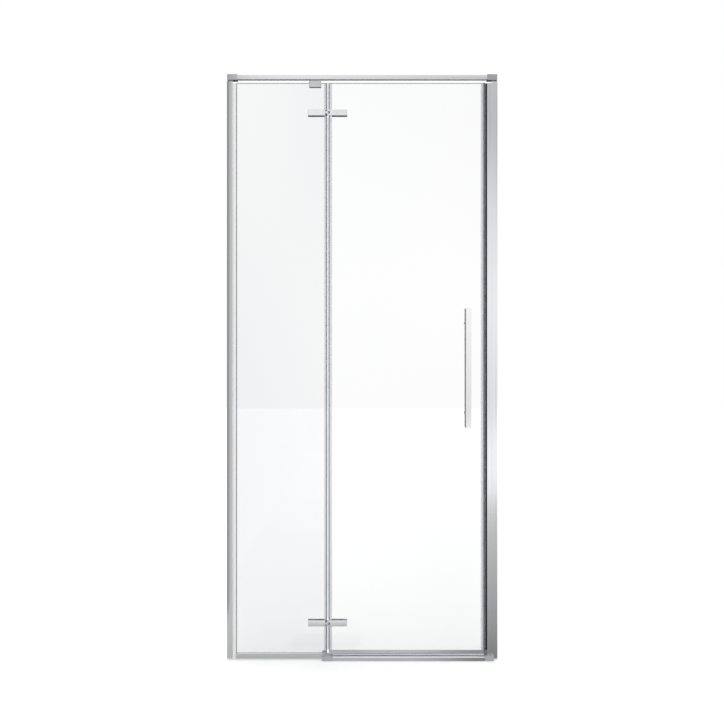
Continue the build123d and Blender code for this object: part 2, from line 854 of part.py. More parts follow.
def hinge_back(height, inward):
    """The plate inside the shower, countersunk for the two screws."""
    half = hinge_back_height / 2
    outer = plate_back + hinge_back_plate
    body = block(leaf_x(inward), (plate_back, outer), (height - half, height + half))
    body = fillet(body.faces().sort_by(Axis.Y)[-1].edges(), hinge_back_round)
    for offset in hinge_screw_offsets:
        x = axis_x + inward * offset
        body -= rod((x, 0.0, height), (x, outer + 1.0, height), hinge_screw_radius + 2 * fit_gap)
        sink = hinge_screw_head_radius - hinge_screw_radius
        body -= cone(
            (x, outer - sink, height),
            (x, outer, height),
            hinge_screw_radius + 2 * fit_gap,
            hinge_screw_head_radius + 2 * fit_gap,
        )
    return body


def hinge_gaskets(height, inward):
    """A pad on each face of the pane, each with collars that centre the screws in the glass holes."""
    x = leaf_x(inward)
    pads = Part()
    for side, leaf_height in ((-1.0, hinge_leaf_height), (1.0, hinge_back_height)):
        half = leaf_height / 2 - hinge_round
        y = sorted((side * glass_back, side * plate_back))
        pad = block((x[0] + hinge_round, x[1] - hinge_round), y, (height - half, height + half))
        for offset in hinge_screw_offsets:
            screw_x = axis_x + inward * offset
            collar_end = (screw_x, side * hinge_gasket / 2, height)
            pad += rod((screw_x, side * plate_back, height), collar_end, hinge_glass_hole - fit_gap)
        pads += pad
    for offset in hinge_screw_offsets:
        screw_x = axis_x + inward * offset
        bore = hinge_screw_radius + 2 * fit_gap
        pads -= rod((screw_x, -plate_back - 1.0, height), (screw_x, plate_back + 1.0, height), bore)
    return pads


def hinge_screws(inward):
    """Countersunk screws from the inside, through the pane into the front plate."""
    screws = Part()
    outer = plate_back + hinge_back_plate
    sink = hinge_screw_head_radius - hinge_screw_radius
    for height in hinge_heights.values():
        for offset in hinge_screw_offsets:
            x = axis_x + inward * offset
            tip = (x, -plate_back - hinge_screw_depth + slide_gap, height)
            seat = (x, outer - sink, height)
            screw = rod(tip, seat, hinge_screw_radius)
            screw += cone(seat, (x, outer, height), hinge_screw_radius, hinge_screw_head_radius)
            screws += screw - hex_socket((x, outer, height), (x, outer - socket_depth, height))
    return screws


def handle_bar():
    """A rectangular tube whose back wall is drilled for the two bolts."""
    x = (handle_x - handle_width / 2, handle_x + handle_width / 2)
    bottom = handle_mid_height - handle_length / 2 + handle_cap
    top = handle_mid_height + handle_length / 2 - handle_cap
    bar = block(x, (handle_front, handle_back), (bottom, top))
    bar = fillet(bar.edges().filter_by(Axis.Z), handle_round)
    wall = handle_wall
    inside_x = (x[0] + wall, x[1] - wall)
    bar -= block(inside_x, (handle_front + wall, handle_back - wall), (bottom - 1.0, top + 1.0))
    for height in handle_heights:
        start = (handle_x, handle_back - wall - 1.0, height)
        bar -= rod(start, (handle_x, handle_back + 1.0, height), handle_bolt_radius + fit_gap)
    return bar


def handle_end_caps():
    """A closing plate at each end of the bar, with a plug inside the tube."""
    caps = Part()
    x = (handle_x - handle_width / 2, handle_x + handle_width / 2)
    spare = handle_wall + fit_gap
    for side in (-1.0, 1.0):
        end = handle_mid_height + side * handle_length / 2
        seat = end - side * handle_cap
        plate = block(x, (handle_front, handle_back), sorted((seat, end)))
        plate = fillet(plate.edges().filter_by(Axis.Z), handle_round)
        outer_face = plate.faces().sort_by(Axis.Z)[-1 if side > 0 else 0]
        plate = chamfer(outer_face.edges(), handle_round / 2)
        plug_x = (x[0] + spare, x[1] - spare)
        plug_y = (handle_front + spare, handle_back - spare)
        caps += plate + block(plug_x, plug_y, sorted((seat, seat - side * handle_cap_spigot)))
    return caps


def handle_posts():
    posts = Part()
    for height in handle_heights:
        start = (handle_x, handle_back, height)
        end = (handle_x, -glass_back - handle_washer, height)
        posts += rod(start, end, handle_post_radius) - rod(start, end, handle_bolt_radius + 2 * fit_gap)
    return posts


def handle_washers():
    """Clear washers on both faces of the door glass."""
    washers = Part()
    for height in handle_heights:
        for side in (-1.0, 1.0):
            start = (handle_x, side * glass_back, height)
            end = (handle_x, side * (glass_back + handle_washer), height)
            radius = handle_post_radius + fit_gap
            washers += rod(start, end, radius) - rod(start, end, handle_bolt_radius + 2 * fit_gap)
    return washers


def handle_inner_caps():
    """Round caps inside the shower, counterbored for the bolt heads."""
    caps = Part()
    near = glass_back + handle_washer
    far = near + handle_inner_cap
    for height in handle_heights:
        cap = rod((handle_x, near, height), (handle_x, far, height), handle_inner_cap_radius)
        cap = fillet(cap.edges().group_by(Axis.Y)[-1], handle_round)
        cap -= rod((handle_x, near, height), (handle_x, far, height), handle_bolt_radius + 2 * fit_gap)
        seat = (handle_x, far - handle_bolt_head, height)
        caps += cap - rod(seat, (handle_x, far + 1.0, height), handle_bolt_head_radius + fit_gap)
    return caps


def handle_bolts():
    bolts = Part()
    far = glass_back + handle_washer + handle_inner_cap
    for height in handle_heights:
        seat = (handle_x, far - handle_bolt_head, height)
        tip = (handle_x, handle_back - handle_wall - handle_nut, height)
        bolt = rod(tip, seat, handle_bolt_radius) + rod(seat, (handle_x, far, height), handle_bolt_head_radius)
        bolts += bolt - hex_socket((handle_x, far, height), (handle_x, far - socket_depth, height))
    return bolts


def handle_nuts():
    """Square nuts inside the bar."""
    nuts = Part()
    half = handle_nut_width / 2
    y = (handle_back - handle_wall - handle_nut, handle_back - handle_wall)
    for height in handle_heights:
        nut = block((handle_x - half, handle_x + half), y, (height - half, height + half))
        start = (handle_x, y[0] - 1.0, height)
        nuts += nut - rod(start, (handle_x, y[1] + 1.0, height), handle_bolt_radius + fit_gap)
    return nuts


nodes = {
    "left_wall_channel": left_wall_channel(),
    "left_glass_profile": left_glass_profile(),
    "left_glass_gaskets": left_glass_gaskets(),
    "left_profile_screws": profile_screws(wall_left, 1.0),
    "fixed_glass": fixed_glass(),
    "fixed_edge_seal": fixed_edge_seal(),
    "bottom_rail": bottom_rail(),
    "bottom_rail_gaskets": bottom_rail_gaskets(),
    "glass_setting_blocks": glass_setting_blocks(),
    "threshold_joint": threshold_joint(),
    "threshold_strip": threshold_strip(),
    "threshold_end_cap": threshold_end_cap(),
    "right_wall_channel": right_wall_channel(),
    "right_receiver_profile": right_receiver_profile(),
    "right_profile_screws": profile_screws(wall_right, -1.0),
    "receiver_magnet_holder": receiver_magnet_holder(),
    "receiver_magnet": receiver_magnet(),
    "receiver_end_block": receiver_end_block(),
    "top_rail": top_rail(),
    "left_rail_bracket": left_rail_bracket(),
    "right_rail_bracket": right_rail_bracket(),
    "bracket_set_screws": bracket_set_screws(),
    "rail_clamp": rail_clamp(),
    "rail_clamp_liner": rail_clamp_liner(),
    "rail_clamp_grub_screws": rail_clamp_grub_screws(),
    "rail_clamp_screw": rail_clamp_screw(),
    "rail_slide_nut": rail_slide_nut(),
    "fixed_hinge_screws": hinge_screws(-1.0),
    "door_glass": door_glass(),
    "door_hinge_screws": hinge_screws(1.0),
    "door_hinge_seal": door_hinge_seal(),
    "door_magnet_seal": door_magnet_seal(),
    "door_magnet": door_magnet(),
    "door_drip_profile": door_drip_profile(),
    "door_drip_liner": door_drip_liner(),
    "door_wiper": door_wiper(),
    "handle_bar": handle_bar(),
    "handle_end_caps": handle_end_caps(),
    "handle_posts": handle_posts(),
    "handle_washers": handle_washers(),
    "handle_inner_caps": handle_inner_caps(),
    "handle_bolts": handle_bolts(),
    "handle_nuts": handle_nuts(),
}
for place, height in hinge_heights.items():
    nodes[f"{place}_fixed_hinge_plate"] = fixed_hinge_plate(height)
    nodes[f"{place}_fixed_hinge_back"] = hinge_back(height, -1.0)
    nodes[f"{place}_fixed_hinge_gaskets"] = hinge_gaskets(height, -1.0)
    nodes[f"{place}_hinge_pin"] = hinge_pin(height)
    nodes[f"{place}_hinge_washers"] = hinge_washers(height)
    nodes[f"{place}_door_hinge_plate"] = door_hinge_plate(height)
    nodes[f"{place}_door_hinge_back"] = hinge_back(height, 1.0)
    nodes[f"{place}_door_hinge_gaskets"] = hinge_gaskets(height, 1.0)

os.makedirs("parts", exist_ok=True)
for name, shape in nodes.items():
    export_step(shape, f"parts/{name}.step")
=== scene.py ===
import json
import math
import bpy
import numpy as np
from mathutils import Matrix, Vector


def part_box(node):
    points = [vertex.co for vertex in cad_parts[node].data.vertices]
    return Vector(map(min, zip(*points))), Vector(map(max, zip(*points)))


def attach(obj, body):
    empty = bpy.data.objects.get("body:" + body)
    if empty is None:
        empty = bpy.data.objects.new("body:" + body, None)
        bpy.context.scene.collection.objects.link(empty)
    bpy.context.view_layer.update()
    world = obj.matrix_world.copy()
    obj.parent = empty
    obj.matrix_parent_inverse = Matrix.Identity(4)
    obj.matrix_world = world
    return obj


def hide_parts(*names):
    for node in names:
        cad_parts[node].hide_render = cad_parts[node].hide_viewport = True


# A glass door for a shower alcove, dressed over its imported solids. Everything is in metres:
# X runs along the door, -Y is the room and Z is up from the shower tray.
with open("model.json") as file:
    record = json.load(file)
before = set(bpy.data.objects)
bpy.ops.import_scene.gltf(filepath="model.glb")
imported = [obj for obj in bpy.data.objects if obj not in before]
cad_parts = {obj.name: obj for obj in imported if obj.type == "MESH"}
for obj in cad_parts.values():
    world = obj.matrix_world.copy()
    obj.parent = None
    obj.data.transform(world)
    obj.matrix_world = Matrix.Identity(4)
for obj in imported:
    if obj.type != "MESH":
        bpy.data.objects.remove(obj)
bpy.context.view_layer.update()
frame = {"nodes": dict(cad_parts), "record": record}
nodes = frame["nodes"]
mm = 0.001
print("solids loaded:", len(nodes))


# Colours are written as sRGB hex and turned to the linear values that the shaders use.
def linearColour(hexCode):
    channels = np.array([int(hexCode[i:i + 2], 16) for i in (1, 3, 5)]) / 255.0
    linear = np.where(channels <= 0.04045, channels / 12.92, ((channels + 0.055) / 1.055) ** 2.4)
    return (*linear.tolist(), 1.0)


def addNode(tree, kind, settings={}, inputs={}):
    node = tree.nodes.new(kind)
    for key, value in settings.items():
        setattr(node, key, value)
    for key, value in inputs.items():
        if isinstance(value, bpy.types.NodeSocket):
            tree.links.new(value, node.inputs[key])
        else:
            node.inputs[key].default_value = value
    return node


def emptyMaterial(name):
    material = bpy.data.materials.new(name)
    material.use_nodes = True
    material.node_tree.nodes.clear()
    return material, material.node_tree


# A material with one shader. The caller's patterns feed its colour, roughness and height.
def newMaterial(name, shaderInputs):
    material, tree = emptyMaterial(name)
    shader = addNode(tree, "ShaderNodeBsdfPrincipled", inputs=shaderInputs)
    addNode(tree, "ShaderNodeOutputMaterial", inputs={"Surface": shader.outputs["BSDF"]})
    return material, tree, shader


def coordinates(tree):
    place = addNode(tree, "ShaderNodeTexCoord")
    return addNode(tree, "ShaderNodeSeparateXYZ", inputs={"Vector": place.outputs["Object"]}).outputs


# Noise stretched by a feature size in millimetres along each axis, read from Object coordinates.
def stretchedNoise(tree, sizesMm, detail=2.0):
    place = addNode(tree, "ShaderNodeTexCoord")
    scale = tuple(1.0 / (size * mm) for size in sizesMm)
    stretched = addNode(tree, "ShaderNodeMapping", inputs={"Vector": place.outputs["Object"], "Scale": scale})
    noise = addNode(tree, "ShaderNodeTexNoise", inputs={
        "Vector": stretched.outputs["Vector"], "Scale": 1.0, "Detail": detail})
    return noise.outputs["Fac"]


noiseSpan = {"From Min": 0.3, "From Max": 0.7}  # nearly all of a noise pattern lies between these


# A noise value turned into a number between two limits.
def numberFrom(tree, noise, low, high):
    ranged = addNode(tree, "ShaderNodeMapRange", inputs={
        **noiseSpan, "Value": noise, "To Min": low, "To Max": high})
    return ranged.outputs["Result"]


# A noise value turned into a colour. A colour mix takes its share in input 0 and its two colours
# in inputs 6 and 7, and gives its result in output 2.
def colourFrom(tree, noise, darkHex, lightHex):
    ranged = addNode(tree, "ShaderNodeMapRange", inputs={**noiseSpan, "Value": noise})
    mix = addNode(tree, "ShaderNodeMix", {"data_type": "RGBA"}, {
        0: ranged.outputs["Result"], 6: linearColour(darkHex), 7: linearColour(lightHex)})
    return mix.outputs[2]


def bumpFrom(tree, height, heightMm, strength):
    bump = addNode(tree, "ShaderNodeBump", inputs={
        "Height": height, "Distance": heightMm * mm, "Strength": strength})
    return bump.outputs["Normal"]


# Aluminium extrusion, anodised: the die leaves faint lines along the length, and the oxide softens
# the shine. Real die lines are 0.2 to 1 mm apart; they are drawn 4 mm apart so that they show.
extrusionLook = {
    "dieLineMm": 4.0,
    "lineLengthMm": 900.0,
    "etchGrainMm": 0.6,
    "etchHeightMm": 0.01,
    "etchStrength": 0.15,
}


def extrudedAluminium(name, along, darkHex, lightHex, sharpest, softest, metal=1.0):
    look = extrusionLook
    material, tree, shader = newMaterial(name, {"Metallic": metal})
    size = [look["dieLineMm"]] * 3
    size["XYZ".index(along)] = look["lineLengthMm"]
    lines = stretchedNoise(tree, size, detail=3.0)
    grain = stretchedNoise(tree, [look["etchGrainMm"]] * 3)
    tree.links.new(colourFrom(tree, lines, darkHex, lightHex), shader.inputs["Base Color"])
    tree.links.new(numberFrom(tree, lines, sharpest, softest), shader.inputs["Roughness"])
    bump = bumpFrom(tree, grain, look["etchHeightMm"], look["etchStrength"])
    tree.links.new(bump, shader.inputs["Normal"])
    return material


# Chrome plate on polished brass or zinc: mirror bright, with a slight haze and a barely uneven surface.
chromeLook = {
    "hazeMm": 14.0,
    "rippleMm": 22.0,
    "rippleHeightMm": 0.02,
    "rippleStrength": 0.2,
}


def polishedChrome(name, darkHex, lightHex, sharpest, softest):
    look = chromeLook
    material, tree, shader = newMaterial(name, {"Metallic": 1.0})
    haze = stretchedNoise(tree, [look["hazeMm"]] * 3, detail=4.0)
    ripple = stretchedNoise(tree, [look["rippleMm"]] * 3, detail=1.0)
    tree.links.new(colourFrom(tree, haze, darkHex, lightHex), shader.inputs["Base Color"])
    tree.links.new(numberFrom(tree, haze, sharpest, softest), shader.inputs["Roughness"])
    bump = bumpFrom(tree, ripple, look["rippleHeightMm"], look["rippleStrength"])
    tree.links.new(bump, shader.inputs["Normal"])
    return material


# Stainless steel fasteners, cold formed and tumbled: grey, fine grained and half bright.
steelLook = {
    "darkHex": "#B4B5B8",
    "lightHex": "#CBCCCF",
    "sharpest": 0.22,
    "softest": 0.36,
    "grainMm": 0.8,
    "grainHeightMm": 0.02,
    "grainStrength": 0.2,
}


def tumbledSteel(name):
    look = steelLook
    material, tree, shader = newMaterial(name, {"Metallic": 1.0})
    grain = stretchedNoise(tree, [look["grainMm"]] * 3, detail=3.0)
    tree.links.new(colourFrom(tree, grain, look["darkHex"], look["lightHex"]), shader.inputs["Base Color"])
    tree.links.new(numberFrom(tree, grain, look["sharpest"], look["softest"]), shader.inputs["Roughness"])
    bump = bumpFrom(tree, grain, look["grainHeightMm"], look["grainStrength"])
    tree.links.new(bump, shader.inputs["Normal"])
    return material


# Clear float glass, toughened: the rollers of the furnace leave waves about 250 mm apart that only
# bend reflections a little, and the iron in it gives a faint green, deeper at a pane's edge.
# The ground edge is duller and greener than the face.
paneLook = {
    "indexOfRefraction": 1.52,
    "waveMm": [700.0, 700.0, 250.0],
    "waveHeightMm": 0.05,
    "waveStrength": 0.1,
    "tintMm": [500.0, 500.0, 1400.0],
    "groundMm": {"X": 2.8, "Z": 1.2},
    "groundHex": "#6E7A77",
    "groundRoughness": 0.35,
}


def toughenedGlass(name, node, darkHex, lightHex):
    look = paneLook
    material, tree, shader = newMaterial(name, {
        "Transmission Weight": 1.0, "IOR": look["indexOfRefraction"]})
    waves = stretchedNoise(tree, look["waveMm"], detail=0.0)
    tint = stretchedNoise(tree, look["tintMm"], detail=0.0)
    low, high = (np.array(corner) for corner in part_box(node))
    middle, half = (low + high) / 2, (high - low) / 2
    place = coordinates(tree)
    edge = 0.0
    for axis, number in (("X", 0), ("Z", 2)):
        offset = addNode(tree, "ShaderNodeMath", {"operation": "SUBTRACT"}, {
            0: place[axis], 1: float(middle[number])})
        distance = addNode(tree, "ShaderNodeMath", {"operation": "ABSOLUTE"}, {0: offset.outputs[0]})
        ground = addNode(tree, "ShaderNodeMath", {"operation": "GREATER_THAN"}, {
            0: distance.outputs[0], 1: float(half[number]) - look["groundMm"][axis] * mm})
        either = addNode(tree, "ShaderNodeMath", {"operation": "MAXIMUM"}, {0: ground.outputs[0], 1: edge})
        edge = either.outputs[0]
    colour = addNode(tree, "ShaderNodeMix", {"data_type": "RGBA"}, {
        0: edge, 6: colourFrom(tree, tint, darkHex, lightHex), 7: linearColour(look["groundHex"])})
    dull = addNode(tree, "ShaderNodeMath", {"operation": "MULTIPLY"}, {0: edge, 1: look["groundRoughness"]})
    tree.links.new(colour.outputs[2], shader.inputs["Base Color"])
    tree.links.new(dull.outputs[0], shader.inputs["Roughness"])
    bump = bumpFrom(tree, waves, look["waveHeightMm"], look["waveStrength"])
    tree.links.new(bump, shader.inputs["Normal"])
    return material


# Clear flexible PVC, extruded: it lets most light through and greys a little along the draw lines.
# Where its surface is seen at a slant, as at a rounded lip, its colour is painted towards dark grey: painted
# shade that draws dark lines along the lips.
pvcLook = {
    "indexOfRefraction": 1.53,
    "drawLineMm": [1.5, 1.5, 500.0],
    "drawHeightMm": 0.02,
    "drawStrength": 0.1,
    "sharpest": 0.05,
    "softest": 0.10,
    "slantShadeBlend": 0.45,
    "slantShadeHex": "#2E2F36",
}


def clearPvc(name, darkHex, lightHex, through):
    look = pvcLook
    material, tree, shader = newMaterial(name, {
        "Transmission Weight": through, "IOR": look["indexOfRefraction"]})
    draw = stretchedNoise(tree, look["drawLineMm"])
    # Painted shade: the colour turns dark grey where the surface is seen at a slant.
    slant = addNode(tree, "ShaderNodeLayerWeight", inputs={"Blend": look["slantShadeBlend"]})
    colour = addNode(tree, "ShaderNodeMix", {"data_type": "RGBA"}, {
        0: slant.outputs["Facing"], 6: colourFrom(tree, draw, darkHex, lightHex),
        7: linearColour(look["slantShadeHex"])})
    tree.links.new(colour.outputs[2], shader.inputs["Base Color"])
    tree.links.new(numberFrom(tree, draw, look["sharpest"], look["softest"]), shader.inputs["Roughness"])
    bump = bumpFrom(tree, draw, look["drawHeightMm"], look["drawStrength"])
    tree.links.new(bump, shader.inputs["Normal"])
    return material


# Moulded or extruded plastics and rubbers: one solid colour, broken by a fine moulded grain.
mouldedLook = {
    "indexOfRefraction": 1.5,
    "grainHeightMm": 0.02,
    "grainStrength": 0.3,
}


def mouldedPlastic(name, darkHex, lightHex, sharpest, softest, grainMm):
    look = mouldedLook
    material, tree, shader = newMaterial(name, {"IOR": look["indexOfRefraction"]})
    grain = stretchedNoise(tree, [grainMm] * 3, detail=3.0)
    tree.links.new(colourFrom(tree, grain, darkHex, lightHex), shader.inputs["Base Color"])
    tree.links.new(numberFrom(tree, grain, sharpest, softest), shader.inputs["Roughness"])
    bump = bumpFrom(tree, grain, look["grainHeightMm"], look["grainStrength"])
    tree.links.new(bump, shader.inputs["Normal"])
    return material


# Anodising takes its gloss from the polish before it: bright on the uprights, satin on the rails.
uprightAluminium = extrudedAluminium(
    "bright_anodised_aluminium_upright", "Z", "#EBECEE", "#F2F2F4", sharpest=0.12, softest=0.20)
levelAluminium = extrudedAluminium(
    "bright_anodised_aluminium_level", "X", "#E6E7E9", "#EFEFF1", sharpest=0.15, softest=0.24)
satinAluminium = extrudedAluminium(
    "satin_anodised_aluminium", "X", "#E6E7EA", "#F0F1F3", sharpest=0.24, softest=0.34)
polishedAluminium = extrudedAluminium(
    "polished_aluminium", "Z", "#F3F3F5", "#F9F9FA", sharpest=0.08, softest=0.12)
# A clear lacquer over silver flake scatters more light than bare oxide.
silverLacquer = extrudedAluminium(
    "silver_lacquered_aluminium", "Z", "#FAFAFB", "#FFFFFF", sharpest=0.34, softest=0.42, metal=0.05)
# Plate over polished brass mirrors the room; over a blasted casting it turns satin and a shade darker.
chromePlate = polishedChrome("polished_chrome_plate", "#E2E3E6", "#EBECEE", sharpest=0.05, softest=0.11)
satinChrome = polishedChrome("satin_chrome_plate", "#C2C3C6", "#CDCED1", sharpest=0.10, softest=0.17)
fastenerSteel = tumbledSteel("tumbled_stainless_steel")
# Both panes are the same glass. The fixed one's tint is painted a little greyer: painted shade, so that it
# shows greyer than the door.
fixedPaneGlass = toughenedGlass("clear_toughened_glass_fixed_pane", "fixed_glass", "#F0F1F3", "#F7F8F7")
doorPaneGlass = toughenedGlass("clear_toughened_glass_door", "door_glass", "#FBFCFC", "#FEFEFE")
# Seals: water clear, with painted shade darkening their lips.
sealPvc = clearPvc("clear_flexible_pvc", "#EFF0F5", "#F7F8FB", through=0.94)
# Flexible PVC coloured through: black and satin.
darkPvc = mouldedPlastic(
    "dark_flexible_pvc", "#17171B", "#202025", sharpest=0.30, softest=0.42, grainMm=1.5)
# Rubber filled with magnet powder: black and dull.
magnetRubber = mouldedPlastic(
    "black_magnetic_rubber", "#17171A", "#202023", sharpest=0.45, softest=0.60, grainMm=0.8)
# Extruded glazing rubber: an even, dull mid grey.
gasketRubber = mouldedPlastic(
    "grey_glazing_rubber", "#9A9B9F", "#A7A8AC", sharpest=0.45, softest=0.60, grainMm=0.8)
# Moulded nylon: milky white with a soft shine.
whiteNylon = mouldedPlastic(
    "white_nylon", "#DCDCDA", "#E8E8E6", sharpest=0.35, softest=0.48, grainMm=1.0)
# ABS painted silver to go with the aluminium: even and softly bright.
silverAbs = mouldedPlastic(
    "silver_painted_abs", "#B4B5B8", "#C3C4C7", sharpest=0.26, softest=0.38, grainMm=1.2)
# ABS moulded in grey: even and rather dull.
greyAbs = mouldedPlastic(
    "grey_moulded_abs", "#77787C", "#84858A", sharpest=0.40, softest=0.52, grainMm=1.2)

slotFinish = {
    "bright_aluminium": uprightAluminium,
    "satin_aluminium": satinAluminium,
    "chrome_fittings": chromePlate,
    "stainless_steel": fastenerSteel,
    "clear_glass": doorPaneGlass,
    "clear_seal": sealPvc,
    "dark_seal": darkPvc,
    "magnet_strip": magnetRubber,
    "grey_gasket": gasketRubber,
    "hard_plastic": whiteNylon,
    "grey_plastic": greyAbs,
}
# Pieces whose finish differs from the rest of their slot.
nodeFinish = {
    "bottom_rail": levelAluminium,
    "threshold_strip": levelAluminium,
    "fixed_glass": fixedPaneGlass,
    "left_glass_profile": silverLacquer,
    "bottom_rail_gaskets": sealPvc,
    "rail_clamp": satinChrome,
    "threshold_joint": silverAbs,
    "threshold_end_cap": silverAbs,
    "left_rail_bracket": satinChrome,
    "right_rail_bracket": satinChrome,
    "handle_bar": polishedAluminium,
    "handle_end_caps": polishedAluminium,
}


def dress(thing, material):
    thing.data.materials.clear()
    thing.data.materials.append(material)


for part in frame["record"]["subparts"]:
    finish = nodeFinish.get(part["node"], slotFinish[part["material_slot"]])
    dress(nodes[part["node"]], finish)
# A pane casts no shadow, and metal beside it reflects the room through it.
for pane in ("fixed_glass", "door_glass"):
    nodes[pane].visible_shadow = False
    nodes[pane].visible_glossy = False


# A closed outline from (u, v, radius) corners. Each corner becomes an arc that touches both of its
# sides: the centre lies on the bisector, and the arc swings from one touching point to the other.
def roundedOutline(corners, steps=7):
    table = np.array(corners, dtype=float)
    points, radius = table[:, :2], table[:, 2:]
    back = np.roll(points, 1, axis=0) - points
    ahead = np.roll(points, -1, axis=0) - points
    back /= np.linalg.norm(back, axis=1, keepdims=True)
    ahead /= np.linalg.norm(ahead, axis=1, keepdims=True)
    between = np.arccos(np.clip((back * ahead).sum(axis=1, keepdims=True), -1.0, 1.0))
    bisector = (back + ahead) / np.linalg.norm(back + ahead, axis=1, keepdims=True)
    centre = points + bisector * radius / np.sin(between / 2)
    start = points + back * radius / np.tan(between / 2) - centre
    end = points + ahead * radius / np.tan(between / 2) - centre
    swing = (math.pi - between)[:, None, :]
    share = np.linspace(0.0, 1.0, steps)[None, :, None]
    fromStart = start[:, None] * np.sin((1 - share) * swing)
    fromEnd = end[:, None] * np.sin(share * swing)
    return (centre[:, None] + (fromStart + fromEnd) / np.sin(swing)).reshape(-1, 2)


# An outline swept straight along Z (its u, v are X, Y) or along X (its u, v are Y, Z), once for each
# span, with flat ends. The outline is turned anticlockwise so that every face points outwards.
def straightSweep(name, outline, spans, along):
    u, v = outline[:, 0], outline[:, 1]
    if (u * np.roll(v, -1) - np.roll(u, -1) * v).sum() < 0:
        outline = outline[::-1]
    count = len(outline)
    stations = np.array(spans).reshape(-1, 1, 1) * np.ones((1, count, 1))
    flat = np.broadcast_to(outline, (len(stations), count, 2))
    order = (flat, stations) if along == "Z" else (stations, flat)
    vertices = np.concatenate(order, axis=2).reshape(-1, 3) * mm
    near = np.arange(count)
    following = np.roll(near, -1)
    sides = np.stack([near, following, following + count, near + count], axis=1)
    faces = []
    for first in range(0, len(vertices), 2 * count):
        faces += (sides + first).tolist()
        faces += [(near[::-1] + first).tolist(), (near + first + count).tolist()]
    return finishedMesh(name, vertices, faces)


# A band around an upright neck. Its section is a rectangle, whose four corners are each carried
# around the neck as a ring: outside below, outside above, inside above, inside below.
def squareCollar(name, inner, outer, middle, heights):
    def ring(half, height):
        wide, deep, radius = half
        left, right = middle[0] - wide, middle[0] + wide
        front, behind = middle[1] - deep, middle[1] + deep
        loop = roundedOutline([
            (left, front, radius), (right, front, radius), (right, behind, radius), (left, behind, radius)])
        return np.column_stack([loop, np.full(len(loop), height)])
    low, high = heights
    rings = [ring(outer, low), ring(outer, high), ring(inner, high), ring(inner, low)]
    count = len(rings[0])
    along = np.arange(count)
    following = np.roll(along, -1)
    across = np.arange(4)[:, None] * count
    beyond = np.roll(across, -1, axis=0)
    faces = np.stack([across + along, across + following, beyond + following, beyond + along], axis=2)
    return finishedMesh(name, np.concatenate(rings) * mm, faces.reshape(-1, 4).tolist())


creaseDegrees = 40.0  # faces that meet at more than this keep a sharp edge


def finishedMesh(name, vertices, faces):
    mesh = bpy.data.meshes.new(name)
    mesh.from_pydata(vertices.tolist(), [], faces)
    mesh.shade_smooth()
    mesh.set_sharp_from_angle(angle=math.radians(creaseDegrees))
    piece = bpy.data.objects.new(name, mesh)
    bpy.context.scene.collection.objects.link(piece)
    return piece


# A new piece gets its finish and the body it rides on, and the solids that it stands for are hidden.
def place(piece, body, slot, material, *replaced):
    dress(piece, material)
    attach(piece, body)
    if replaced:
        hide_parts(*replaced)


def boxMm(node):
    low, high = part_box(node)
    return np.array(low) / mm, np.array(high) / mm


# Clear edge seals: a channel that grips a pane's edge, with rounded lips. The door's has a soft fin
# that closes the gap between the panes. Both stop short of the hinges.
edgeSeal = {
    "wallMm": 1.0,
    "webClearMm": 0.05,
    "lipRadiusMm": 0.42,
    "outerRadiusMm": 0.9,
    "innerRadiusMm": 0.25,
    "finMm": 1.2,
    "finRadiusMm": 0.55,
    "hingeClearMm": 1.0,
}


# Heights at which the seals start and stop, below, between and above the hinges.
def sealSpans(low, high):
    edges = [low[2]]
    for hinge in ("lower", "upper"):
        leafLow, leafHigh = boxMm(hinge + "_fixed_hinge_plate")
        edges += [leafLow[2] - edgeSeal["hingeClearMm"], leafHigh[2] + edgeSeal["hingeClearMm"]]
    return edges + [high[2]]


# The outline's u runs outwards from the pane's edge, and v runs through the pane's thickness.
def sealOutline(leg, half, finTip=None):
    look = edgeSeal
    wall, near = look["wallMm"], look["webClearMm"]
    lip, outer, inner = look["lipRadiusMm"], look["outerRadiusMm"], look["innerRadiusMm"]
    far = near + wall
    corners = [(-leg, -half, lip), (far, -half, outer)]
    if finTip is not None:
        fin = look["finMm"] / 2
        corners += [(far, -fin, inner), (finTip, -fin, look["finRadiusMm"])]
        corners += [(finTip, fin, look["finRadiusMm"]), (far, fin, inner)]
    corners += [(far, half, outer), (-leg, half, lip), (-leg, half - wall, lip), (near, half - wall, inner)]
    corners += [(near, wall - half, inner), (-leg, wall - half, lip)]
    return roundedOutline(corners)


def edgeSeals():
    low, high = boxMm("fixed_edge_seal")
    edge = boxMm("fixed_glass")[1][0]
    outline = sealOutline(edge - low[0], high[1]) + (edge, 0.0)
    piece = straightSweep("fixed_pane_edge_seal", outline, sealSpans(low, high), "Z")
    place(piece, "frame", "clear_seal", sealPvc, "fixed_edge_seal")
    low, high = boxMm("door_hinge_seal")
    edge = boxMm("door_glass")[0][0]
    outline = sealOutline(high[0] - edge, high[1], edge - low[0]) * (-1.0, 1.0) + (edge, 0.0)
    piece = straightSweep("door_hinge_edge_seal", outline, sealSpans(low, high), "Z")
    place(piece, "door", "clear_seal", sealPvc, "door_hinge_seal")


# The closing edge's seal: two thin legs, a web, and the box that holds the magnet strip.
magnetSeal = {
    "skinMm": 1.2,
    "webMm": 1.2,
    "glassClearMm": 0.05,
    "lipRadiusMm": 0.54,
    "boxRadiusMm": 0.7,
    "innerRadiusMm": 0.25,
}


